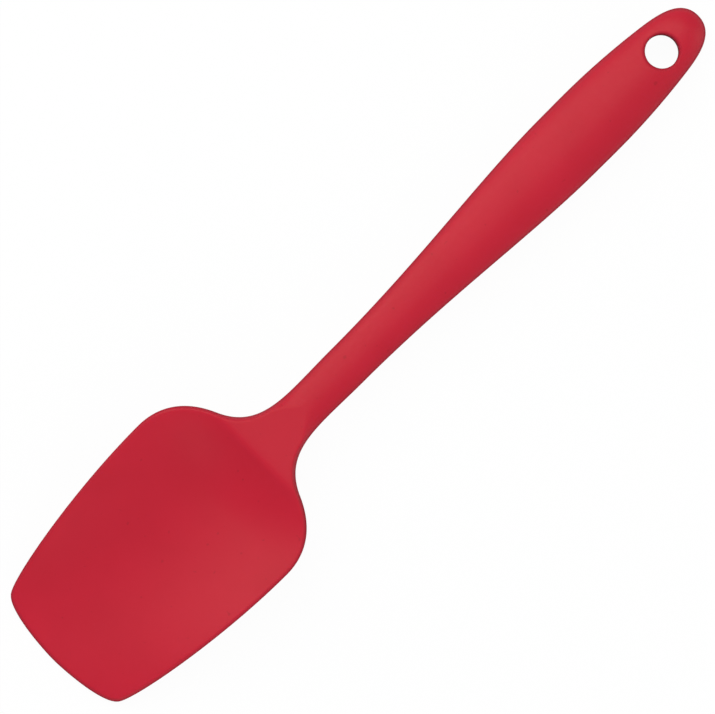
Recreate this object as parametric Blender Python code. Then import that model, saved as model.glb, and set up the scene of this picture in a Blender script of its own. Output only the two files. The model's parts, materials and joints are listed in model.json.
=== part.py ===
"""Silicone spoon lying with its hollow up: a silicone moulding over a stiff nylon core."""

import math

import bmesh
import bpy
import numpy as np

# Overall sizes, in metres
LENGTH = 0.280
BOWL_WIDTH = 0.0644
NECK_WIDTH = 0.0140
GRIP_WIDTH = 0.0238
END_WIDTH = 0.0200

# Outline stations, measured from the bowl's tip unless the name says otherwise
CORNER_AT = 0.0053
CORNER_HALF_WIDTH = 0.0235
BOWL_WIDEST_AT = 0.0696
SHOULDER_AT = 0.0895
SHOULDER_HALF_WIDTH = 0.0180
NECK_AT = 0.1275
GRIP_AT = 0.2241
TAPER_FROM_END = 0.0162
END_RADIUS = 0.0085

# Headings of the outline where it isn't level or square to the length, in degrees
CORNER_HEADING = 34.0
SHOULDER_HEADING = -66.0
TAPER_HEADING = -7.0

# Reach of the outline's curves before and after each station
TIP_REACH = 0.0040
CORNER_REACH = (0.0053, 0.0056)
BOWL_REACH = (0.0273, 0.0132)
SHOULDER_REACH = (0.0043, 0.0149)
NECK_REACH = (0.0189, 0.0392)
GRIP_REACH = (0.0276, 0.0079)
TAPER_REACH = (0.0198, 0.0076)
END_REACH = 0.0076

# Bowl
TIP_THICKNESS = 0.0024
LIP_THICKNESS = 0.0027
BOWL_DEPTH = 0.0096
FULL_DEPTH_AT = 0.0560
FLOOR_SLOPE = 3.4
FLOOR_CURVE = 1.5
TIP_HALF_WIDTH = 0.0248
REAR_WALL_RUN = 0.0200
CREASE_AT = 0.0885
CREASE_SOFTNESS = 0.0015
LAND_SINK = 0.00035
UNDERSIDE_RISE_AT = 0.0440

# Neck and handle
FLARE_END_AT = 0.1120
FLARE_ROUND_AT = 0.1010
NECK_THICKNESS = 0.0081
GRIP_THICKNESS = 0.0138
END_THICKNESS = 0.0114
HANDLE_SLOPE = 2.1

# Hanging hole
HOLE_DIAMETER = 0.0105
HOLE_FROM_END = 0.0159
HOLE_ROUNDING = 0.0012

# Core
CLEARANCE = 0.0003
CORE_THICKNESS = 0.0060
CORE_LEAST_THICKNESS = 0.0014
BOWL_FACE_COVER = 0.0013
GRIP_FACE_COVER = 0.0020
GRIP_SIDE_COVER = 0.0027
FLEX_LIP = 0.0095
FLEX_TIP = 0.0200
PADDLE_ROUNDING = 0.0140
CORE_TAIL_ROUNDING = 0.0060
TAIL_TO_HOLE = 0.0050
WINDOW_LENGTH = 0.0160
WINDOW_WIDTH = 0.0040
WINDOW_PITCH = 0.0260
WINDOWS = 4
LAST_WINDOW_TO_TAIL = 0.0160
PADDLE_HOLE = 0.0060
PADDLE_HOLE_PITCH = 0.0150
FIRST_HOLE_FROM_PADDLE_TIP = 0.0160
PEG_DIAMETER = 0.0030
PEG_RECESS = 0.0003

# Facets
TOUCH = 1e-6
OUTLINE_STEPS = 60
TIP_ROWS = 14
BOWL_ROWS = 10
WALL_ROWS = 8
FLARE_ROWS = 12
HANDLE_ROWS = 18
END_RIBS = 16
EDGE_TURNS = (0.0, 22.0, 42.0, 63.0)
INNER_COLUMNS = 5
BAND_COLUMNS = 3
RIB_STEPS = 4
RIM_TURNS = (90.0, 58.0, 30.0, 0.0)
ROUND_SIDES = 24


def smooth(value, start, end):
    """Rises from 0 to 1 between start and end with level ends."""
    share = np.clip((value - start) / (end - start), 0.0, 1.0)
    return share * share * (3.0 - 2.0 * share)


def softer_lower(first, second, softness):
    """The lower of two heights, with their meeting line eased."""
    return (first + second - np.sqrt((first - second) ** 2 + softness**2)) / 2.0


def outline_side():
    """One side of the outline, from the middle of the tip to the middle of the handle's end."""
    knots = (
        (0.0, 0.0, 90.0, (0.0, TIP_REACH)),
        (CORNER_AT, CORNER_HALF_WIDTH, CORNER_HEADING, CORNER_REACH),
        (BOWL_WIDEST_AT, BOWL_WIDTH / 2, 0.0, BOWL_REACH),
        (SHOULDER_AT, SHOULDER_HALF_WIDTH, SHOULDER_HEADING, SHOULDER_REACH),
        (NECK_AT, NECK_WIDTH / 2, 0.0, NECK_REACH),
        (GRIP_AT, GRIP_WIDTH / 2, 0.0, GRIP_REACH),
        (LENGTH - TAPER_FROM_END, END_WIDTH / 2, TAPER_HEADING, TAPER_REACH),
        (LENGTH, 0.0, -90.0, (END_REACH, 0.0)),
    )
    share = np.linspace(0.0, 1.0, OUTLINE_STEPS + 1)[:, None]
    points = []
    for here, there in zip(knots, knots[1:]):
        start = np.array(here[:2])
        end = np.array(there[:2])
        leave = np.array([math.cos(math.radians(here[2])), math.sin(math.radians(here[2]))])
        arrive = np.array([math.cos(math.radians(there[2])), math.sin(math.radians(there[2]))])
        first = start + leave * here[3][1]
        second = end - arrive * there[3][0]
        run = (
            (1 - share) ** 3 * start
            + 3 * share * (1 - share) ** 2 * first
            + 3 * share**2 * (1 - share) * second
            + share**3 * end
        )
        points.append(run[:-1])
    points.append(np.array([[LENGTH, 0.0]]))
    return np.concatenate(points)


SIDE = outline_side()


def half_width(along):
    return np.interp(along, SIDE[:, 0], SIDE[:, 1])


def edge_distance(along, across):
    """Distance in plan from each point to the outline."""
    point = np.stack([along, np.abs(across)], axis=-1).reshape(-1, 1, 2)
    start = SIDE[:-1]
    run = SIDE[1:] - start
    share = ((point - start) * run).sum(-1) / (run**2).sum(-1)
    nearest = start + np.clip(share, 0.0, 1.0)[..., None] * run
    return np.sqrt(((point - nearest) ** 2).sum(-1)).min(1).reshape(np.shape(along))


def handle_half_thickness(along):
    """Grows with the handle's width from the neck to the grip, and falls again to the end."""
    width = 2 * half_width(np.clip(along, NECK_AT, LENGTH - TAPER_FROM_END))
    rising = np.interp(width, (NECK_WIDTH, GRIP_WIDTH), (NECK_THICKNESS, GRIP_THICKNESS))
    falling = np.interp(width, (END_WIDTH, GRIP_WIDTH), (END_THICKNESS, GRIP_THICKNESS))
    return np.where(along < GRIP_AT, rising, falling) / 2


def handle_middle(along):
    """Height of the handle's mid-plane, set so that its lowest point touches the ground."""
    fall = math.tan(math.radians(HANDLE_SLOPE))
    stations = np.linspace(NECK_AT, LENGTH - END_RADIUS, 200)
    ground = (handle_half_thickness(stations) + fall * stations).max()
    return ground - fall * along


def bowl_line(along):
    return TIP_THICKNESS + math.tan(math.radians(FLOOR_SLOPE)) * along


def rear_wall(along):
    """Rise of the bowl's floor behind the hollow: an arc up to the crease, then straight on."""
    radius = (REAR_WALL_RUN**2 + BOWL_DEPTH**2) / (2 * BOWL_DEPTH)
    into = np.maximum(along - (CREASE_AT - REAR_WALL_RUN), 0.0)
    arc = radius - np.sqrt(radius**2 - np.minimum(into, REAR_WALL_RUN) ** 2)
    steepness = REAR_WALL_RUN / (radius - BOWL_DEPTH)
    return arc + steepness * np.maximum(into - REAR_WALL_RUN, 0.0)


def cross_curve(along, across):
    """0 on the axis and 1 at the lip: a rounded trough with straighter walls."""
    ahead = np.clip(1.0 - along / BOWL_WIDEST_AT, 0.0, 1.0)
    reach = BOWL_WIDTH / 2 - (BOWL_WIDTH / 2 - TIP_HALF_WIDTH) * ahead**2
    rise = np.sqrt(1.0 + (FLOOR_CURVE * across / reach) ** 2) - 1.0
    return rise / (math.sqrt(1.0 + FLOOR_CURVE**2) - 1.0)


def lip_rise(along):
    ahead = np.clip(along / FULL_DEPTH_AT, 0.0, 1.0)
    return BOWL_DEPTH * np.sin(ahead * math.pi / 2)


def upper_face(along, across):
    """Upper surface before its edges are rounded."""
    wall = rear_wall(along)
    depth = np.maximum(lip_rise(along) - wall, 0.0)
    bowl = bowl_line(along) + wall + depth * cross_curve(along, across)
    crown = handle_middle(along) + handle_half_thickness(along)
    crown_at_crease = handle_middle(CREASE_AT) + NECK_THICKNESS / 2
    step = bowl_line(CREASE_AT) + BOWL_DEPTH - crown_at_crease
    fade = np.clip((FLARE_END_AT - along) / (FLARE_END_AT - CREASE_AT), 0.0, 2.0)
    return softer_lower(bowl, crown + step * fade**2, CREASE_SOFTNESS)


def lower_face(along, across):
    """Lower surface before its edges are rounded."""
    share = smooth(along, UNDERSIDE_RISE_AT, FLARE_END_AT)
    handle = handle_middle(along) - handle_half_thickness(along)
    keel = handle * share - LAND_SINK * (1.0 - share)
    lip = bowl_line(along) + lip_rise(along) - LIP_THICKNESS
    fade = 1.0 - smooth(along, BOWL_WIDEST_AT, FLARE_END_AT)
    return keel + np.maximum(lip - keel, 0.0) * fade * cross_curve(along, across)


def rounding_reach(along):
    """How far the rounding of the edge reaches inward: the lip's half thickness, or all of the handle."""
    inside = np.minimum(along, LENGTH - END_RADIUS)
    share = smooth(along, FLARE_ROUND_AT, FLARE_END_AT)
    return LIP_THICKNESS / 2 * (1.0 - share) + half_width(inside) * share


def skin_heights(along, across):
    """Top and bottom of the silicone over each point in plan, with its edges and hole rounded."""
    top = upper_face(along, across)
    bottom = lower_face(along, across)
    middle = (top + bottom) / 2
    inset = np.clip(edge_distance(along, across) / rounding_reach(along), 0.0, 1.0)
    half = (top - bottom) / 2 * np.sqrt(1.0 - (1.0 - inset) ** 2)
    from_hole = np.hypot(along - (LENGTH - HOLE_FROM_END), across) - HOLE_DIAMETER / 2
    lean = np.clip(1.0 - from_hole / HOLE_ROUNDING, 0.0, 1.0)
    half = half - HOLE_ROUNDING * (1.0 - np.sqrt(1.0 - lean**2))
    return middle + half, np.maximum(middle - half, 0.0)


def core_half_width(along):
    """Half width of the core: the outline less its covers, with both ends rounded."""
    lip = smooth(along, BOWL_WIDEST_AT, FLARE_END_AT)
    side = FLEX_LIP * (1.0 - lip) + GRIP_SIDE_COVER * lip
    front = np.clip((along - FLEX_TIP) / PADDLE_ROUNDING, 0.0, 1.0)
    back = np.clip((core_tail() - along) / CORE_TAIL_ROUNDING, 0.0, 1.0)
    ends = np.sqrt(1.0 - (1.0 - front) ** 2) * np.sqrt(1.0 - (1.0 - back) ** 2)
    return (half_width(along) - side) * ends


def core_heights(along, across):
    """Top and bottom of the core: the silicone's faces less their cover, no thicker than the core."""
    top, bottom = skin_heights(along, across)
    share = smooth(along, BOWL_WIDEST_AT, FLARE_END_AT)
    cover = BOWL_FACE_COVER * (1.0 - share) + GRIP_FACE_COVER * share
    half = np.clip((top - bottom) / 2 - cover, CORE_LEAST_THICKNESS / 2, CORE_THICKNESS / 2)
    return (top + bottom) / 2 + half, (top + bottom) / 2 - half


def add_sheet(mesh, grid, turned):
    """Adds a grid of points to the mesh, split the same way in the core and in its cavity."""
    vertices = [[mesh.verts.new(point) for point in row] for row in grid]
    for upper, lower in zip(vertices, vertices[1:]):
        for a, b, c, d in zip(upper, upper[1:], lower[1:], lower):
            mesh.faces.new((c, b, a) if turned else (a, b, c))
            mesh.faces.new((d, c, a) if turned else (a, c, d))


def closed_body(name, patches):
    """A closed mesh from patches of one side's plan points, mirrored to the other side.

    Each patch is (along, across, top, bottom, walls), with each row running inward, and walls
    names the columns that stand as upright walls between the top and the bottom.
    """
    mesh = bmesh.new()
    for along, across, top, bottom, walls in patches:
        for side in (1.0, -1.0):
            turned = side < 0
            upper = np.stack([along - LENGTH / 2, side * across, top], axis=-1)
            lower = np.stack([along - LENGTH / 2, side * across, bottom], axis=-1)
            add_sheet(mesh, upper, turned)
            add_sheet(mesh, lower, not turned)
            for column in walls:
                wall = np.stack([upper[:, column], lower[:, column]], axis=1)
                add_sheet(mesh, wall, turned != (column == 0))
    bmesh.ops.remove_doubles(mesh, verts=mesh.verts, dist=TOUCH)
    flat = [face for face in mesh.faces if face.calc_area() < TOUCH**2]
    bmesh.ops.delete(mesh, geom=flat, context="FACES_ONLY")
    data = bpy.data.meshes.new(name)
    mesh.to_mesh(data)
    mesh.free()
    for polygon in data.polygons:
        polygon.use_smooth = True
    body = bpy.data.objects.new(name, data)
    bpy.context.scene.collection.objects.link(body)
    return body


def outline_between(start, end, steps):
    """Points spaced evenly along the outline's side, from one station to another."""
    length = np.concatenate([[0.0], np.cumsum(np.hypot(*np.diff(SIDE, axis=0).T))])
    marks = np.linspace(*np.interp((start, end), SIDE[:, 0], length), steps + 1)
    return np.stack([np.interp(marks, length, SIDE[:, axis]) for axis in (0, 1)], axis=1)


def rows_between(edge, end, distances):
    """Plan points on the straight rows from edge to end, at the given distances along each."""
    share = np.stack(distances, axis=1) / np.hypot(*(end - edge).T)[:, None]
    points = edge[:, None] + (end - edge)[:, None] * share[..., None]
    return points[..., 0], points[..., 1]


def edge_distances(edge, end, most):
    """Distances along the rows at which the edge's rounding has turned by equal steps."""
    heading = np.gradient(edge, axis=0)
    row = end - edge
    crossing = np.abs(heading[:, 0] * row[:, 1] - heading[:, 1] * row[:, 0])
    square = np.clip(crossing / np.hypot(*heading.T) / np.hypot(*row.T), 0.3, 1.0)
    room = np.minimum(rounding_reach(edge[:, 0]) / square, most)
    return [room * (1.0 - math.cos(math.radians(turn))) for turn in EDGE_TURNS], room


def skin_patches():
    """Rows from the outline to the axis, a band round the handle's end, and ribs from it to the hole."""
    nose = CORNER_AT + CORNER_HALF_WIDTH
    hole = np.array([LENGTH - HOLE_FROM_END, 0.0])
    last = hole[0] - HOLE_DIAMETER / 2 - 5 * HOLE_ROUNDING
    stations = np.concatenate(
        [
            np.linspace(nose, CREASE_AT - REAR_WALL_RUN, BOWL_ROWS)[:-1],
            np.linspace(CREASE_AT - REAR_WALL_RUN, CREASE_AT, WALL_ROWS)[:-1],
            np.linspace(CREASE_AT, FLARE_END_AT, FLARE_ROWS)[:-1],
            np.linspace(FLARE_END_AT, last, HANDLE_ROWS),
        ]
    )
    tip = outline_between(0.0, nose, TIP_ROWS)[:-1]
    reach = nose * (0.5 + 0.5 * np.maximum(np.arange(TIP_ROWS), 1) / TIP_ROWS)
    edge = np.concatenate([tip, np.stack([stations, half_width(stations)], axis=1)])
    end = np.concatenate([reach, stations])
    end = np.stack([end, np.zeros(len(end))], axis=1)
    span = np.hypot(*(end - edge).T)
    distances, room = edge_distances(edge, end, span)
    inner = np.minimum(room, span * 0.72)
    for share in np.linspace(0.0, 1.0, INNER_COLUMNS + 1):
        distances.append(inner + (span - inner) * share)
    along, across = rows_between(edge, end, distances)
    rows = (along, across, *skin_heights(along, across), ())

    edge = outline_between(last, LENGTH, END_RIBS)
    toward = hole - edge
    share = smooth(np.arange(len(edge)), 0.0, len(edge) / 3)[:, None]
    inward = toward / np.hypot(*toward.T)[:, None] * share + np.array([0.0, -1.0]) * (1 - share)
    distances, _ = edge_distances(edge, edge + inward, LENGTH)
    band_along, band_across = rows_between(edge, edge + inward, distances[:BAND_COLUMNS])
    band_along[0] = along[-1, :BAND_COLUMNS]
    band_across[0] = across[-1, :BAND_COLUMNS]
    band = (band_along, band_across, *skin_heights(band_along, band_across), ())

    start = np.concatenate(
        [
            np.stack([along[-1, : BAND_COLUMNS - 1 : -1], across[-1, : BAND_COLUMNS - 1 : -1]], axis=1),
            np.stack([band_along[:, -1], band_across[:, -1]], axis=1),
        ]
    )
    away = start - hole
    end = hole + away / np.hypot(*away.T)[:, None] * HOLE_DIAMETER / 2
    span = np.hypot(*(end - start).T)
    distances = [(span - HOLE_ROUNDING) * step / RIB_STEPS for step in range(RIB_STEPS)]
    for turn in RIM_TURNS:
        distances.append(span - HOLE_ROUNDING * (1.0 - math.cos(math.radians(turn))))
    along, across = rows_between(start, end, distances)
    ribs = (along, across, *skin_heights(along, across), (-1,))
    return rows, band, ribs


def core_tail():
    return LENGTH - HOLE_FROM_END - HOLE_DIAMETER / 2 - TAIL_TO_HOLE


def core_body(name, growth):
    """The core's plate, or its cavity when growth is the clearance."""
    front = FLEX_TIP + PADDLE_ROUNDING
    back = core_tail() - CORE_TAIL_ROUNDING
    turns = np.linspace(0.0, math.pi / 2, 7)
    stations = np.concatenate(
        [
            front - PADDLE_ROUNDING * np.cos(turns),
            np.linspace(front, BOWL_WIDEST_AT, 6)[1:],
            np.linspace(BOWL_WIDEST_AT, FLARE_END_AT, 9)[1:],
            np.linspace(FLARE_END_AT, back, 16)[1:],
            back + CORE_TAIL_ROUNDING * np.sin(turns[1:]),
        ]
    )
    edge = core_half_width(stations)
    heading = np.gradient(np.stack([stations, edge], axis=-1), axis=0)
    heading[0] = (0.0, 1.0)
    heading[-1] = (0.0, -1.0)
    heading /= np.hypot(*heading.T)[:, None]
    share = np.linspace(1.0, 0.0, 5)
    along = np.repeat(stations[:, None], len(share), axis=1)
    across = edge[:, None] * share
    top, bottom = core_heights(along, across)
    along = along - growth * heading[:, 1, None]
    across = across + growth * heading[:, 0, None] * share
    return closed_body(name, [(along, across, top + growth, bottom - growth, (0,))])


def add_post(mesh, along, across, length, width, low, high):
    """An upright post with rounded ends, round where its length equals its width."""
    straight = (length - width) / 2
    ring = []
    for step in range(ROUND_SIDES):
        turn = 2 * math.pi * (step + 0.5) / ROUND_SIDES
        shift = math.copysign(straight, math.cos(turn))
        x = along - LENGTH / 2 + shift + width / 2 * math.cos(turn)
        ring.append((x, across + width / 2 * math.sin(turn)))
    lower = [mesh.verts.new((x, y, low)) for x, y in ring]
    upper = [mesh.verts.new((x, y, high)) for x, y in ring]
    mesh.faces.new(lower[::-1])
    mesh.faces.new(upper)
    for index in range(ROUND_SIDES):
        after = (index + 1) % ROUND_SIDES
        mesh.faces.new((lower[index], lower[after], upper[after], upper[index]))


def cutter(name, mesh):
    data = bpy.data.meshes.new(name)
    mesh.to_mesh(data)
    mesh.free()
    body = bpy.data.objects.new(name, data)
    bpy.context.scene.collection.objects.link(body)
    hide(body)
    return body


def hide(body):
    body.hide_render = True
    body.display_type = "WIRE"


def window_stations():
    last = core_tail() - LAST_WINDOW_TO_TAIL
    return [last - WINDOW_PITCH * index for index in range(WINDOWS)]


def window_posts(name, growth):
    """What the silicone fills in the core: windows along the handle and holes in the paddle."""
    mesh = bmesh.new()
    low = -BOWL_DEPTH
    high = 4 * BOWL_DEPTH
    for station in window_stations():
        length = WINDOW_LENGTH - 2 * growth
        add_post(mesh, station, 0.0, length, WINDOW_WIDTH - 2 * growth, low, high)
    first = FLEX_TIP + FIRST_HOLE_FROM_PADDLE_TIP
    hole = PADDLE_HOLE - 2 * growth
    for row in range(3):
        for column in (-1, 0, 1):
            along = first + row * PADDLE_HOLE_PITCH
            add_post(mesh, along, column * PADDLE_HOLE_PITCH, hole, hole, low, high)
    return cutter(name, mesh)


def peg_posts(name, growth):
    """Pegs that hold the core off the mould's floor, or the holes that they leave in the silicone."""
    mesh = bmesh.new()
    width = PEG_DIAMETER + 2 * growth
    for station in window_stations():
        along = station - WINDOW_PITCH / 2
        top, bottom = skin_heights(np.array([along]), np.array([0.0]))
        low = bottom[0] + PEG_RECESS if growth == 0.0 else bottom[0] - NECK_THICKNESS / 2
        add_post(mesh, along, 0.0, width, width, low, (top[0] + bottom[0]) / 2)
    return cutter(name, mesh)


def combine(body, other, operation):
    modifier = body.modifiers.new(other.name, "BOOLEAN")
    modifier.operation = operation
    modifier.solver = "EXACT"
    modifier.object = other


def paint(body, name, colour, roughness):
    material = bpy.data.materials.new(name)
    material.use_nodes = True
    shader = material.node_tree.nodes["Principled BSDF"]
    shader.inputs["Base Color"].default_value = (*colour, 1.0)
    shader.inputs["Roughness"].default_value = roughness
    body.data.materials.append(material)


def main():
    for existing in list(bpy.data.objects):
        bpy.data.objects.remove(existing)

    core = core_body("nylon_core", 0.0)
    combine(core, window_posts("core_windows", 0.0), "DIFFERENCE")
    combine(core, peg_posts("core_pegs", 0.0), "UNION")
    paint(core, "red_nylon", (0.30, 0.015, 0.03), 0.45)

    cavity = core_body("core_cavity", CLEARANCE)
    combine(cavity, window_posts("cavity_windows", CLEARANCE), "DIFFERENCE")
    combine(cavity, peg_posts("cavity_pegs", CLEARANCE), "UNION")
    hide(cavity)

    skin = closed_body("silicone_overmould", skin_patches())
    combine(skin, cavity, "DIFFERENCE")
    paint(skin, "red_silicone", (0.515, 0.017, 0.037), 0.5)


main()
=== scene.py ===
import json
import math

import bmesh
import bpy
import numpy as np
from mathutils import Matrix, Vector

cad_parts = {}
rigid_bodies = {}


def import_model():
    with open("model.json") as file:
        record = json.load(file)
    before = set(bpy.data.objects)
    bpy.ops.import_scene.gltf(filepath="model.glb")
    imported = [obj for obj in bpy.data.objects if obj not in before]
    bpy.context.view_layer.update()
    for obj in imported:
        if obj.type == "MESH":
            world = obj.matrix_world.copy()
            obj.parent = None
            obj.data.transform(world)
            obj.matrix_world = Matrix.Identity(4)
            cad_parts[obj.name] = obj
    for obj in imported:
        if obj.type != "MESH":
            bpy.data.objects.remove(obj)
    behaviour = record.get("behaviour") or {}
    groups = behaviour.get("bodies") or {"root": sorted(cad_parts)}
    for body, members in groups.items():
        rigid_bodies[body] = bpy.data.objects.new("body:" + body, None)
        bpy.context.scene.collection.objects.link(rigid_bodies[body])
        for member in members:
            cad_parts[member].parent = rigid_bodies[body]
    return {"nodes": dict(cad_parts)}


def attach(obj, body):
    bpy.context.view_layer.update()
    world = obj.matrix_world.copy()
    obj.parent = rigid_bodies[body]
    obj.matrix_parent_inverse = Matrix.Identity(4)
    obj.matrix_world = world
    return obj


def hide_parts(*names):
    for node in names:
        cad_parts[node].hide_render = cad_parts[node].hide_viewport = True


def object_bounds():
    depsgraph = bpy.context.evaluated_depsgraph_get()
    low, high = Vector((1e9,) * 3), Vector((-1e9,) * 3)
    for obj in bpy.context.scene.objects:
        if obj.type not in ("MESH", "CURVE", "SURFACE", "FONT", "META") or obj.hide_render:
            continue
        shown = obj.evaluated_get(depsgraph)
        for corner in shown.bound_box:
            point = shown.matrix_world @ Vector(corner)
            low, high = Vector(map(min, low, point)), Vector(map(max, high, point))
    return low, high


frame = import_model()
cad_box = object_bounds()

# The skin repeats the CAD source's surface with finer facets.
# Lengths are in metres, and headings, slopes and turns in degrees.
LENGTH = 0.280
BOWL_WIDTH = 0.0644
NECK_WIDTH = 0.0140
GRIP_WIDTH = 0.0238
END_WIDTH = 0.0200

CORNER_AT = 0.0053
CORNER_HALF_WIDTH = 0.0235
BOWL_WIDEST_AT = 0.0696
SHOULDER_AT = 0.0895
SHOULDER_HALF_WIDTH = 0.0180
NECK_AT = 0.1275
GRIP_AT = 0.2241
TAPER_FROM_END = 0.0162
END_RADIUS = 0.0085

CORNER_HEADING = 34.0
SHOULDER_HEADING = -66.0
TAPER_HEADING = -7.0

TIP_REACH = 0.0040
CORNER_REACH = (0.0053, 0.0056)
BOWL_REACH = (0.0273, 0.0132)
SHOULDER_REACH = (0.0043, 0.0149)
NECK_REACH = (0.0189, 0.0392)
GRIP_REACH = (0.0276, 0.0079)
TAPER_REACH = (0.0198, 0.0076)
END_REACH = 0.0076

TIP_THICKNESS = 0.0024
LIP_THICKNESS = 0.0027
BOWL_DEPTH = 0.0096
FULL_DEPTH_AT = 0.0560
FLOOR_SLOPE = 3.4
FLOOR_CURVE = 1.5
TIP_HALF_WIDTH = 0.0248
REAR_WALL_RUN = 0.0200
CREASE_AT = 0.0885
CREASE_SOFTNESS = 0.0015
LAND_SINK = 0.00035
UNDERSIDE_RISE_AT = 0.0440

FLARE_END_AT = 0.1120
FLARE_ROUND_AT = 0.1010
MOST_FADE = 2.0
NECK_THICKNESS = 0.0081
GRIP_THICKNESS = 0.0138
END_THICKNESS = 0.0114
HANDLE_SLOPE = 2.1

HOLE_DIAMETER = 0.0105
HOLE_FROM_END = 0.0159
HOLE_ROUNDING = 0.0012

TAIL_TO_HOLE = 0.0050
WINDOW_PITCH = 0.0260
WINDOWS = 4
LAST_WINDOW_TO_TAIL = 0.0160
PEG_DIAMETER = 0.0030
PEG_GAP = 0.0003
PEG_SHOWN = 0.0009

# Facets of the skin
TOUCH = 1e-7
SLIVER = 1e-6
SHARP_TURN = 50.0
OUTLINE_STEPS = 220
HANDLE_STATIONS = 200
POINTS_AT_A_TIME = 1500
TIP_ROWS = 48
TIP_FAN = 0.5
BOWL_ROWS = 44
WALL_ROWS = 34
FLARE_ROWS = 56
HANDLE_ROWS = 96
ROUNDINGS_BEFORE_HOLE = 5
END_RIBS = 72
EDGE_TURNS = (0.0, 7.0, 15.0, 23.0, 31.0, 39.0, 47.0, 56.0, 66.0, 77.0)
LEAST_CROSSING = 0.3
MOST_OF_ROW = 0.86
INNER_COLUMNS = 18
BAND_COLUMNS = 6
RIB_STEPS = 12
RIM_TURNS = (90.0, 79.0, 68.0, 57.0, 46.0, 35.0, 24.0, 12.0, 0.0)
WALL_STEPS = 6
ROUND_SIDES = 48

# Silicone. A span is the part of a noise's range that a look runs over.
CLOUD_SCALE = 45.0
CLOUD_SPAN = (0.35, 0.65)
CLOUD_COLOURS = ((0.499, 0.0088, 0.0306), (0.523, 0.0098, 0.0332))
MARK_SCALE = 640.0
MARK_SPAN = (0.80, 0.87)
MARK_SHADE = 0.4
MARK_COLOUR = (0.30, 0.007, 0.020)
# The edge colour is a painted shade: the silicone darkens towards the outline and the hole's rim in plan.
EDGE_NAME = "edge"
EDGE_REACH = 0.0012
EDGE_PAINTED_SHADE = 0.5
EDGE_PAINTED_SHADE_COLOUR = (0.20, 0.010, 0.024)
EDGE_ROUGH_FROM = 0.3
EDGE_ROUGHNESS = 0.45
WORN_SCALE = 900.0
WORN_SPAN = (0.3, 0.7)
WORN_ROUGHNESS = (0.46, 0.54)
WAVE_SCALE = 90.0
WAVE_STRENGTH = 0.25
WAVE_DEPTH = 0.00005
GRAIN_SCALE = 5200.0
GRAIN_STRENGTH = 0.30
GRAIN_DEPTH = 0.00002
SILICONE_IOR = 1.41
SPECULAR_LEVEL = 0.33
SPECULAR_TINT = (1.0, 1.0, 0.75, 1.0)
SUBSURFACE_WEIGHT = 0.12
SUBSURFACE_RADIUS = (1.0, 0.25, 0.18)
SUBSURFACE_SCALE = 0.004

# Nylon
FIBRE_STRETCH = (0.12, 1.0, 1.0)
FIBRE_SCALE = 4200.0
FIBRE_COLOUR_SPAN = (0.35, 0.7)
FIBRE_COLOURS = ((0.27, 0.012, 0.026), (0.33, 0.019, 0.036))
FIBRE_ROUGH_SPAN = (0.3, 0.7)
FIBRE_ROUGHNESS = (0.40, 0.52)
FIBRE_STRENGTH = 0.4
FIBRE_DEPTH = 0.00002

# Floor, sky and lamps. The camera and reflections see a white floor, which bounces light as grey.
WHITE = (1.0, 1.0, 1.0, 1.0)
FLOOR_HALF_SIDE = 3.0
FLOOR_HEIGHT = -0.0002
FLOOR_COLOUR = (0.25, 0.25, 0.25, 1.0)
FLOOR_ROUGHNESS = 0.9
FLOOR_SHOWN = (0.9, 0.9, 0.9, 1.0)
FLOOR_GLOW = 0.96
FILL = 0.40
LAMP_DISTANCE = 1.4
# Each lamp's name, azimuth, tilt, side and power
LAMPS = (
    ("key", 75.0, 45.0, 0.9, 6.7),
    ("low_key", 105.0, 70.0, 0.9, 5.4),
    ("overhead", 20.0, 20.0, 0.8, 5.5),
    ("low_left", 225.0, 75.0, 0.8, 6.2),
    ("low_right", 315.0, 75.0, 0.8, 4.0),
)

# Camera: straight above, turned so that the handle points to the picture's upper right
PICTURE_TURN = 44.95
PICTURE_WIDTH = 0.2191
CAMERA_AT = (-0.00804, -0.00035)
CAMERA_HEIGHT = 2.5
OBJECT_HEIGHT = 0.009


def smooth(value, start, end):
    share = np.clip((value - start) / (end - start), 0.0, 1.0)
    return share * share * (3.0 - 2.0 * share)


def softer_lower(first, second, softness):
    return (first + second - np.sqrt((first - second) ** 2 + softness**2)) / 2.0


def heading_vector(degrees):
    return np.array([math.cos(math.radians(degrees)), math.sin(math.radians(degrees))])


def outline_side():
    """One side of the outline, from the middle of the tip to the middle of the handle's end."""
    knots = (
        (0.0, 0.0, 90.0, (0.0, TIP_REACH)),
        (CORNER_AT, CORNER_HALF_WIDTH, CORNER_HEADING, CORNER_REACH),
        (BOWL_WIDEST_AT, BOWL_WIDTH / 2, 0.0, BOWL_REACH),
        (SHOULDER_AT, SHOULDER_HALF_WIDTH, SHOULDER_HEADING, SHOULDER_REACH),
        (NECK_AT, NECK_WIDTH / 2, 0.0, NECK_REACH),
        (GRIP_AT, GRIP_WIDTH / 2, 0.0, GRIP_REACH),
        (LENGTH - TAPER_FROM_END, END_WIDTH / 2, TAPER_HEADING, TAPER_REACH),
        (LENGTH, 0.0, -90.0, (END_REACH, 0.0)),
    )
    share = np.linspace(0.0, 1.0, OUTLINE_STEPS + 1)[:, None]
    points = []
    for here, there in zip(knots, knots[1:]):
        start = np.array(here[:2])
        end = np.array(there[:2])
        first = start + heading_vector(here[2]) * here[3][1]
        second = end - heading_vector(there[2]) * there[3][0]
        run = (
            (1 - share) ** 3 * start
            + 3 * share * (1 - share) ** 2 * first
            + 3 * share**2 * (1 - share) * second
            + share**3 * end
        )
        points.append(run[:-1])
    points.append(np.array([[LENGTH, 0.0]]))
    return np.concatenate(points)


SIDE = outline_side()


def half_width(along):
    return np.interp(along, SIDE[:, 0], SIDE[:, 1])


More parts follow.
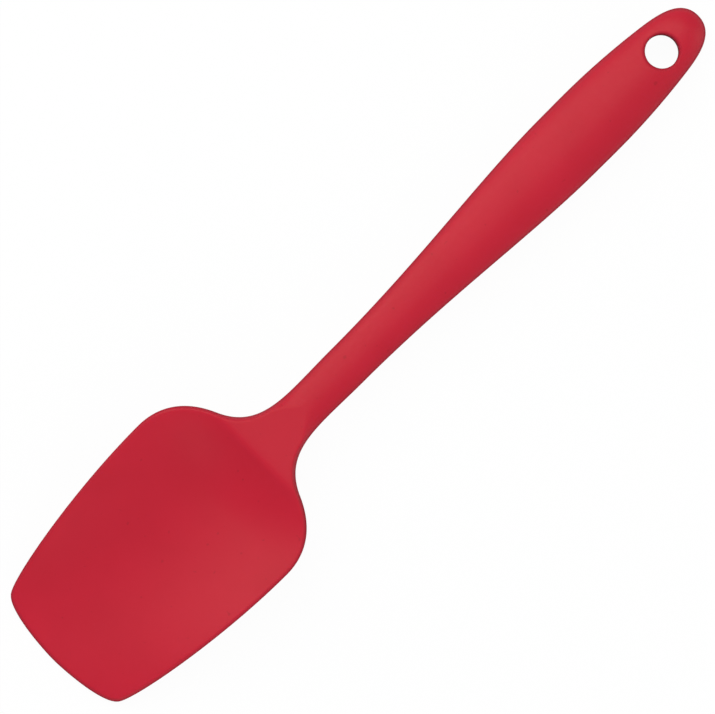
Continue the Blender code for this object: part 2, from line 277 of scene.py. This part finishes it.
def edge_distance(along, across):
    """Distance in plan from each point to the outline, worked out in batches."""
    start = SIDE[:-1]
    run = SIDE[1:] - start
    points = np.stack([along, np.abs(across)], axis=-1).reshape(-1, 2)
    found = []
    for batch in np.array_split(points, max(1, len(points) // POINTS_AT_A_TIME)):
        point = batch[:, None]
        share = ((point - start) * run).sum(-1) / (run**2).sum(-1)
        nearest = start + np.clip(share, 0.0, 1.0)[..., None] * run
        found.append(np.sqrt(((point - nearest) ** 2).sum(-1)).min(1))
    return np.concatenate(found).reshape(np.shape(along))


def handle_half_thickness(along):
    width = 2 * half_width(np.clip(along, NECK_AT, LENGTH - TAPER_FROM_END))
    rising = np.interp(width, (NECK_WIDTH, GRIP_WIDTH), (NECK_THICKNESS, GRIP_THICKNESS))
    falling = np.interp(width, (END_WIDTH, GRIP_WIDTH), (END_THICKNESS, GRIP_THICKNESS))
    return np.where(along < GRIP_AT, rising, falling) / 2


def handle_middle(along):
    """Height of the handle's middle line, which slopes so that the grip's underside rests."""
    fall = math.tan(math.radians(HANDLE_SLOPE))
    stations = np.linspace(NECK_AT, LENGTH - END_RADIUS, HANDLE_STATIONS)
    ground = (handle_half_thickness(stations) + fall * stations).max()
    return ground - fall * along


def bowl_line(along):
    return TIP_THICKNESS + math.tan(math.radians(FLOOR_SLOPE)) * along


def rear_wall(along):
    radius = (REAR_WALL_RUN**2 + BOWL_DEPTH**2) / (2 * BOWL_DEPTH)
    into = np.maximum(along - (CREASE_AT - REAR_WALL_RUN), 0.0)
    arc = radius - np.sqrt(radius**2 - np.minimum(into, REAR_WALL_RUN) ** 2)
    steepness = REAR_WALL_RUN / (radius - BOWL_DEPTH)
    return arc + steepness * np.maximum(into - REAR_WALL_RUN, 0.0)


def cross_curve(along, across):
    """How far the bowl has risen from its middle towards its lip, from 0 to about 1."""
    ahead = np.clip(1.0 - along / BOWL_WIDEST_AT, 0.0, 1.0)
    reach = BOWL_WIDTH / 2 - (BOWL_WIDTH / 2 - TIP_HALF_WIDTH) * ahead**2
    rise = np.sqrt(1.0 + (FLOOR_CURVE * across / reach) ** 2) - 1.0
    return rise / (math.sqrt(1.0 + FLOOR_CURVE**2) - 1.0)


def lip_rise(along):
    ahead = np.clip(along / FULL_DEPTH_AT, 0.0, 1.0)
    return BOWL_DEPTH * np.sin(ahead * math.pi / 2)


def upper_face(along, across):
    wall = rear_wall(along)
    depth = np.maximum(lip_rise(along) - wall, 0.0)
    bowl = bowl_line(along) + wall + depth * cross_curve(along, across)
    crown = handle_middle(along) + handle_half_thickness(along)
    crown_at_crease = handle_middle(CREASE_AT) + NECK_THICKNESS / 2
    step = bowl_line(CREASE_AT) + BOWL_DEPTH - crown_at_crease
    fade = np.clip((FLARE_END_AT - along) / (FLARE_END_AT - CREASE_AT), 0.0, MOST_FADE)
    return softer_lower(bowl, crown + step * fade**2, CREASE_SOFTNESS)


def lower_face(along, across):
    share = smooth(along, UNDERSIDE_RISE_AT, FLARE_END_AT)
    handle = handle_middle(along) - handle_half_thickness(along)
    keel = handle * share - LAND_SINK * (1.0 - share)
    lip = bowl_line(along) + lip_rise(along) - LIP_THICKNESS
    fade = 1.0 - smooth(along, BOWL_WIDEST_AT, FLARE_END_AT)
    return keel + np.maximum(lip - keel, 0.0) * fade * cross_curve(along, across)


def rounding_reach(along):
    inside = np.minimum(along, LENGTH - END_RADIUS)
    share = smooth(along, FLARE_ROUND_AT, FLARE_END_AT)
    return LIP_THICKNESS / 2 * (1.0 - share) + half_width(inside) * share


def skin_heights(along, across):
    """Top and bottom of the silicone over each point in plan, with its edges and hole rounded."""
    top = upper_face(along, across)
    bottom = lower_face(along, across)
    middle = (top + bottom) / 2
    inset = np.clip(edge_distance(along, across) / rounding_reach(along), 0.0, 1.0)
    half = (top - bottom) / 2 * np.sqrt(1.0 - (1.0 - inset) ** 2)
    from_hole = np.hypot(along - (LENGTH - HOLE_FROM_END), across) - HOLE_DIAMETER / 2
    lean = np.clip(1.0 - from_hole / HOLE_ROUNDING, 0.0, 1.0)
    half = half - HOLE_ROUNDING * (1.0 - np.sqrt(1.0 - lean**2))
    return middle + half, np.maximum(middle - half, 0.0)


def add_sheet(mesh, grid, turned):
    vertices = [[mesh.verts.new(point) for point in row] for row in grid]
    for upper, lower in zip(vertices, vertices[1:]):
        for a, b, c, d in zip(upper, upper[1:], lower[1:], lower):
            mesh.faces.new((d, c, b, a) if turned else (a, b, c, d))


def closed_body(name, patches):
    """A closed mesh from patches of one side's plan points, mirrored to the other side."""
    mesh = bmesh.new()
    for along, across, top, bottom, walls in patches:
        for side in (1.0, -1.0):
            turned = side < 0
            upper = np.stack([along - LENGTH / 2, side * across, top], axis=-1)
            lower = np.stack([along - LENGTH / 2, side * across, bottom], axis=-1)
            add_sheet(mesh, upper, turned)
            add_sheet(mesh, lower, not turned)
            for column in walls:
                share = np.linspace(0.0, 1.0, WALL_STEPS + 1)[None, :, None]
                wall = upper[:, column][:, None] * (1 - share) + lower[:, column][:, None] * share
                add_sheet(mesh, wall, turned)
    weld(mesh, TOUCH)
    return finished(name, mesh)


def weld(mesh, distance):
    bmesh.ops.remove_doubles(mesh, verts=mesh.verts, dist=distance)
    bmesh.ops.dissolve_degenerate(mesh, edges=mesh.edges, dist=distance)


def finished(name, mesh):
    data = bpy.data.meshes.new(name)
    mesh.to_mesh(data)
    mesh.free()
    data.shade_smooth()
    body = bpy.data.objects.new(name, data)
    bpy.context.scene.collection.objects.link(body)
    return body


def outline_between(start, end, steps):
    length = np.concatenate([[0.0], np.cumsum(np.hypot(*np.diff(SIDE, axis=0).T))])
    marks = np.linspace(*np.interp((start, end), SIDE[:, 0], length), steps + 1)
    return np.stack([np.interp(marks, length, SIDE[:, axis]) for axis in (0, 1)], axis=1)


def rows_between(edge, end, distances):
    share = np.stack(distances, axis=1) / np.hypot(*(end - edge).T)[:, None]
    points = edge[:, None] + (end - edge)[:, None] * share[..., None]
    return points[..., 0], points[..., 1]


def edge_distances(edge, end, most):
    """Steps inward along each row that follow the rounded edge, and the room that it takes."""
    heading = np.gradient(edge, axis=0)
    row = end - edge
    crossing = np.abs(heading[:, 0] * row[:, 1] - heading[:, 1] * row[:, 0])
    square = np.clip(crossing / np.hypot(*heading.T) / np.hypot(*row.T), LEAST_CROSSING, 1.0)
    room = np.minimum(rounding_reach(edge[:, 0]) / square, most)
    return [room * (1.0 - math.cos(math.radians(turn))) for turn in EDGE_TURNS], room


def body_rows(last):
    """Rows from the outline to the axis, from the tip to where the handle's end begins."""
    nose = CORNER_AT + CORNER_HALF_WIDTH
    wall_foot = CREASE_AT - REAR_WALL_RUN
    stations = np.concatenate(
        [
            np.linspace(nose, wall_foot, BOWL_ROWS)[:-1],
            np.linspace(wall_foot, CREASE_AT, WALL_ROWS)[:-1],
            np.linspace(CREASE_AT, FLARE_END_AT, FLARE_ROWS)[:-1],
            np.linspace(FLARE_END_AT, last, HANDLE_ROWS),
        ]
    )
    tip = outline_between(0.0, nose, TIP_ROWS)[:-1]
    reach = nose * (TIP_FAN + (1 - TIP_FAN) * np.maximum(np.arange(TIP_ROWS), 1) / TIP_ROWS)
    edge = np.concatenate([tip, np.stack([stations, half_width(stations)], axis=1)])
    end = np.concatenate([reach, stations])
    end = np.stack([end, np.zeros(len(end))], axis=1)
    span = np.hypot(*(end - edge).T)
    distances, room = edge_distances(edge, end, span)
    inner = np.minimum(room, span * MOST_OF_ROW)
    for share in np.linspace(0.0, 1.0, INNER_COLUMNS + 1):
        distances.append(inner + (span - inner) * share)
    return rows_between(edge, end, distances)


def end_band(last, hole, rows):
    """A band along the outline round the handle's end, which starts on the last of the rows."""
    edge = outline_between(last, LENGTH, END_RIBS)
    toward = hole - edge
    # The lines across the band turn towards the hole over the first third of them.
    share = smooth(np.arange(len(edge)), 0.0, len(edge) / 3)[:, None]
    inward = toward / np.hypot(*toward.T)[:, None] * share + np.array([0.0, -1.0]) * (1 - share)
    distances, _ = edge_distances(edge, edge + inward, LENGTH)
    band = rows_between(edge, edge + inward, distances[:BAND_COLUMNS])
    for plan, row_plan in zip(band, rows):
        plan[0] = row_plan[-1, :BAND_COLUMNS]
    return band


def ribs_to_hole(start, hole):
    """Ribs from the last row and the band's inner side to the hole, over its rounded rim."""
    away = start - hole
    end = hole + away / np.hypot(*away.T)[:, None] * HOLE_DIAMETER / 2
    span = np.hypot(*(end - start).T)
    distances = [(span - HOLE_ROUNDING) * step / RIB_STEPS for step in range(RIB_STEPS)]
    for turn in RIM_TURNS:
        distances.append(span - HOLE_ROUNDING * (1.0 - math.cos(math.radians(turn))))
    return rows_between(start, end, distances)


def skin_patches():
    """Rows, band and ribs with their heights, and the columns from which a wall drops."""
    hole = np.array([LENGTH - HOLE_FROM_END, 0.0])
    last = hole[0] - HOLE_DIAMETER / 2 - ROUNDINGS_BEFORE_HOLE * HOLE_ROUNDING
    rows = body_rows(last)
    band = end_band(last, hole, rows)
    start = np.concatenate(
        [
            np.stack([plan[-1, : BAND_COLUMNS - 1 : -1] for plan in rows], axis=1),
            np.stack([plan[:, -1] for plan in band], axis=1),
        ]
    )
    ribs = ribs_to_hole(start, hole)
    return [(*plan, *skin_heights(*plan), walls) for plan, walls in ((rows, ()), (band, ()), (ribs, (-1,)))]


def stay_in_box(body, box):
    """Keeps every point inside the CAD model's box, which its coarser facets made a hair smaller."""
    low, high = box
    for vertex in body.data.vertices:
        vertex.co = [min(max(vertex.co[i], low[i]), high[i]) for i in range(3)]


def peg_holes():
    """Cutters for the openings in the back of the handle, through which the core's pegs show."""
    mesh = bmesh.new()
    last = LENGTH - HOLE_FROM_END - HOLE_DIAMETER / 2 - TAIL_TO_HOLE - LAST_WINDOW_TO_TAIL
    radius = PEG_DIAMETER / 2 + PEG_GAP
    turns = (np.arange(ROUND_SIDES) + 0.5) * 2 * math.pi / ROUND_SIDES
    for index in range(WINDOWS):
        along = last - WINDOW_PITCH * (index + 0.5)
        bottom = skin_heights(np.array([along]), np.array([0.0]))[1][0]
        rings = []
        for height in (bottom - PEG_DIAMETER, bottom + PEG_SHOWN):
            ring = [(along - LENGTH / 2 + radius * math.cos(t), radius * math.sin(t), height) for t in turns]
            rings.append([mesh.verts.new(point) for point in ring])
        low, high = rings
        mesh.faces.new(low[::-1])
        mesh.faces.new(high)
        for side in range(ROUND_SIDES):
            after = (side + 1) % ROUND_SIDES
            mesh.faces.new((low[side], low[after], high[after], high[side]))
    return finished("peg_holes", mesh)


def cut(body, cutter):
    modifier = body.modifiers.new("cut", "BOOLEAN")
    modifier.operation = "DIFFERENCE"
    modifier.solver = "EXACT"
    modifier.object = cutter
    graph = bpy.context.evaluated_depsgraph_get()
    data = bpy.data.meshes.new_from_object(body.evaluated_get(graph))
    body.modifiers.clear()
    body.data = data
    bpy.data.objects.remove(cutter)
    mesh = bmesh.new()
    mesh.from_mesh(data)
    weld(mesh, SLIVER)
    mesh.to_mesh(data)
    mesh.free()
    data.set_sharp_from_angle(angle=math.radians(SHARP_TURN))


def mark_edges(body):
    """Keeps, at every point, how near it lies to the outline or the hole's rim in plan, for the painted edge
    shade and the rougher edges.
    """
    points = np.array([vertex.co for vertex in body.data.vertices])
    along = points[:, 0] + LENGTH / 2
    rim = np.hypot(along - (LENGTH - HOLE_FROM_END), points[:, 1]) - HOLE_DIAMETER / 2
    inset = np.minimum(edge_distance(along, points[:, 1]), np.maximum(rim, 0.0))
    nearness = np.clip(1.0 - inset / EDGE_REACH, 0.0, 1.0)
    body.data.attributes.new(EDGE_NAME, "FLOAT", "POINT").data.foreach_set("value", nearness)


def new_material(name):
    material = bpy.data.materials.new(name)
    material.use_nodes = True
    tree = material.node_tree
    return material, tree, tree.nodes["Principled BSDF"]


def noise(tree, coordinates, scale, detail=3.0, roughness=0.5):
    node = tree.nodes.new("ShaderNodeTexNoise")
    node.inputs["Scale"].default_value = scale
    node.inputs["Detail"].default_value = detail
    node.inputs["Roughness"].default_value = roughness
    tree.links.new(coordinates, node.inputs["Vector"])
    return node.outputs["Fac"]


def ranged(tree, value, source, target=(0.0, 1.0)):
    """The value with its source range stretched to the target range, and held at its ends."""
    node = tree.nodes.new("ShaderNodeMapRange")
    for name, number in zip(("From Min", "From Max", "To Min", "To Max"), (*source, *target)):
        node.inputs[name].default_value = number
    tree.links.new(value, node.inputs["Value"])
    return node.outputs["Result"]


def blended(tree, factor, first, second):
    """Two colours, each a plain one or a node's output, mixed by a node's output."""
    node = tree.nodes.new("ShaderNodeMix")
    node.data_type = "RGBA"
    for socket, colour in ((6, first), (7, second)):
        if isinstance(colour, tuple):
            node.inputs[socket].default_value = (*colour, 1.0)
        else:
            tree.links.new(colour, node.inputs[socket])
    tree.links.new(factor, node.inputs[0])
    return node.outputs[2]


def joined(tree, operation, first, second):
    node = tree.nodes.new("ShaderNodeMath")
    node.operation = operation
    tree.links.new(first, node.inputs[0])
    tree.links.new(second, node.inputs[1])
    return node.outputs[0]


def mixed(tree, first, second):
    """The node that mixes two shaders, and its output; its factor is left to the caller."""
    node = tree.nodes.new("ShaderNodeMixShader")
    tree.links.new(first, node.inputs[1])
    tree.links.new(second, node.inputs[2])
    return node, node.outputs[0]


def bumped(tree, height, strength, distance, below=None):
    node = tree.nodes.new("ShaderNodeBump")
    node.inputs["Strength"].default_value = strength
    node.inputs["Distance"].default_value = distance
    tree.links.new(height, node.inputs["Height"])
    if below is not None:
        tree.links.new(below, node.inputs["Normal"])
    return node.outputs["Normal"]


def silicone():
    """Matte moulded silicone: fine grain, faint clouding, small marks, rougher edges, and a painted shade
    that darkens it towards the outline and the hole's rim.
    """
    material, tree, shader = new_material("silicone_matte_red")
    place = tree.nodes.new("ShaderNodeTexCoord").outputs["Object"]
    mark = tree.nodes.new("ShaderNodeAttribute")
    mark.attribute_name = EDGE_NAME
    nearness = mark.outputs["Fac"]

    clouds = ranged(tree, noise(tree, place, CLOUD_SCALE, detail=2.0), CLOUD_SPAN)
    colour = blended(tree, clouds, *CLOUD_COLOURS)
    marks = ranged(tree, noise(tree, place, MARK_SCALE, detail=0.0), MARK_SPAN, (0.0, MARK_SHADE))
    colour = blended(tree, marks, colour, MARK_COLOUR)
    # Painted shade: darker towards the outline and the hole's rim in plan.
    edge = ranged(tree, nearness, (0.0, 1.0), (0.0, EDGE_PAINTED_SHADE))
    colour = blended(tree, edge, colour, EDGE_PAINTED_SHADE_COLOUR)
    tree.links.new(colour, shader.inputs["Base Color"])

    worn = ranged(tree, noise(tree, place, WORN_SCALE), WORN_SPAN, WORN_ROUGHNESS)
    rough_edge = ranged(tree, nearness, (EDGE_ROUGH_FROM, 1.0), (0.0, EDGE_ROUGHNESS))
    tree.links.new(joined(tree, "ADD", worn, rough_edge), shader.inputs["Roughness"])

    wave = bumped(tree, noise(tree, place, WAVE_SCALE, detail=1.0), WAVE_STRENGTH, WAVE_DEPTH)
    grain = noise(tree, place, GRAIN_SCALE, detail=2.0, roughness=0.6)
    tree.links.new(bumped(tree, grain, GRAIN_STRENGTH, GRAIN_DEPTH, wave), shader.inputs["Normal"])

    shader.inputs["IOR"].default_value = SILICONE_IOR
    shader.inputs["Specular IOR Level"].default_value = SPECULAR_LEVEL
    shader.inputs["Specular Tint"].default_value = SPECULAR_TINT
    shader.inputs["Subsurface Weight"].default_value = SUBSURFACE_WEIGHT
    shader.inputs["Subsurface Radius"].default_value = SUBSURFACE_RADIUS
    shader.inputs["Subsurface Scale"].default_value = SUBSURFACE_SCALE
    return material


def nylon():
    """Moulded nylon with short glass fibres lying along the handle."""
    material, tree, shader = new_material("nylon_moulded_red")
    place = tree.nodes.new("ShaderNodeTexCoord").outputs["Object"]
    stretch = tree.nodes.new("ShaderNodeMapping")
    stretch.inputs["Scale"].default_value = FIBRE_STRETCH
    tree.links.new(place, stretch.inputs["Vector"])
    fibres = noise(tree, stretch.outputs["Vector"], FIBRE_SCALE, detail=2.0)
    colour = blended(tree, ranged(tree, fibres, FIBRE_COLOUR_SPAN), *FIBRE_COLOURS)
    tree.links.new(colour, shader.inputs["Base Color"])
    roughness = ranged(tree, fibres, FIBRE_ROUGH_SPAN, FIBRE_ROUGHNESS)
    tree.links.new(roughness, shader.inputs["Roughness"])
    tree.links.new(bumped(tree, fibres, FIBRE_STRENGTH, FIBRE_DEPTH), shader.inputs["Normal"])
    return material


def softbox(name, azimuth, tilt, side, power):
    """A square lamp aimed at the spoon, at an azimuth from +X to +Y and a tilt from straight above."""
    data = bpy.data.lights.new(name, "AREA")
    data.shape = "RECTANGLE"
    data.size = side
    data.size_y = side
    data.energy = power
    lamp = bpy.data.objects.new(name, data)
    bpy.context.scene.collection.objects.link(lamp)
    across = LAMP_DISTANCE * math.sin(math.radians(tilt))
    lamp.location = (
        across * math.cos(math.radians(azimuth)),
        across * math.sin(math.radians(azimuth)),
        LAMP_DISTANCE * math.cos(math.radians(tilt)),
    )
    lamp.rotation_euler = (-lamp.location).to_track_quat("-Z", "Y").to_euler()


def floor_material():
    """Lit plainly, but shown as a pale glow to the camera, to reflections and through glass."""
    material, tree, lit = new_material("floor_white")
    lit.inputs["Base Color"].default_value = FLOOR_COLOUR
    lit.inputs["Roughness"].default_value = FLOOR_ROUGHNESS
    pale = tree.nodes.new("ShaderNodeBsdfDiffuse")
    pale.inputs["Color"].default_value = FLOOR_SHOWN
    glow = tree.nodes.new("ShaderNodeEmission")
    glow.inputs["Color"].default_value = WHITE
    glow.inputs["Strength"].default_value = 1.0
    soft, shown = mixed(tree, pale.outputs[0], glow.outputs[0])
    soft.inputs[0].default_value = FLOOR_GLOW

    path = tree.nodes.new("ShaderNodeLightPath")
    seen = path.outputs["Is Camera Ray"]
    for name in ("Is Glossy Ray", "Is Transmission Ray"):
        seen = joined(tree, "MAXIMUM", seen, path.outputs[name])
    mix, surface = mixed(tree, lit.outputs[0], shown)
    tree.links.new(seen, mix.inputs[0])
    tree.links.new(surface, tree.nodes["Material Output"].inputs["Surface"])
    return material


def floor():
    mesh = bmesh.new()
    side = FLOOR_HALF_SIDE
    corners = ((-side, -side), (side, -side), (side, side), (-side, side))
    mesh.faces.new([mesh.verts.new((x, y, FLOOR_HEIGHT)) for x, y in corners])
    plane = finished("floor", mesh)
    plane.data.materials.append(floor_material())


def world():
    """An even fill light, which the camera sees as white."""
    surroundings = bpy.data.worlds.new("studio")
    bpy.context.scene.world = surroundings
    surroundings.use_nodes = True
    tree = surroundings.node_tree
    fill = tree.nodes["Background"]
    fill.inputs["Color"].default_value = WHITE
    fill.inputs["Strength"].default_value = FILL
    white = tree.nodes.new("ShaderNodeBackground")
    white.inputs["Color"].default_value = WHITE
    mix, surface = mixed(tree, fill.outputs[0], white.outputs[0])
    path = tree.nodes.new("ShaderNodeLightPath")
    tree.links.new(path.outputs["Is Camera Ray"], mix.inputs[0])
    tree.links.new(surface, tree.nodes["World Output"].inputs["Surface"])


def camera():
    data = bpy.data.cameras.new("camera")
    data.lens = data.sensor_width * CAMERA_HEIGHT / PICTURE_WIDTH
    eye = bpy.data.objects.new("camera", data)
    bpy.context.scene.collection.objects.link(eye)
    eye.location = (*CAMERA_AT, CAMERA_HEIGHT + OBJECT_HEIGHT)
    eye.rotation_euler = (0.0, 0.0, math.radians(-PICTURE_TURN))
    bpy.context.scene.camera = eye


for existing in list(bpy.data.objects):
    if existing.name in ("Cube", "Light", "Camera"):
        bpy.data.objects.remove(existing)

skin = closed_body("silicone_skin", skin_patches())
stay_in_box(skin, cad_box)
cut(skin, peg_holes())
mark_edges(skin)
skin.data.materials.clear()
skin.data.materials.append(silicone())
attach(skin, "root")
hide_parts("silicone_overmould")

core = frame["nodes"]["nylon_core"]
core.material_slots[0].material = nylon()

floor()
world()
for lamp in LAMPS:
    softbox(*lamp)
camera()

bpy.context.scene.view_settings.view_transform = "Standard"
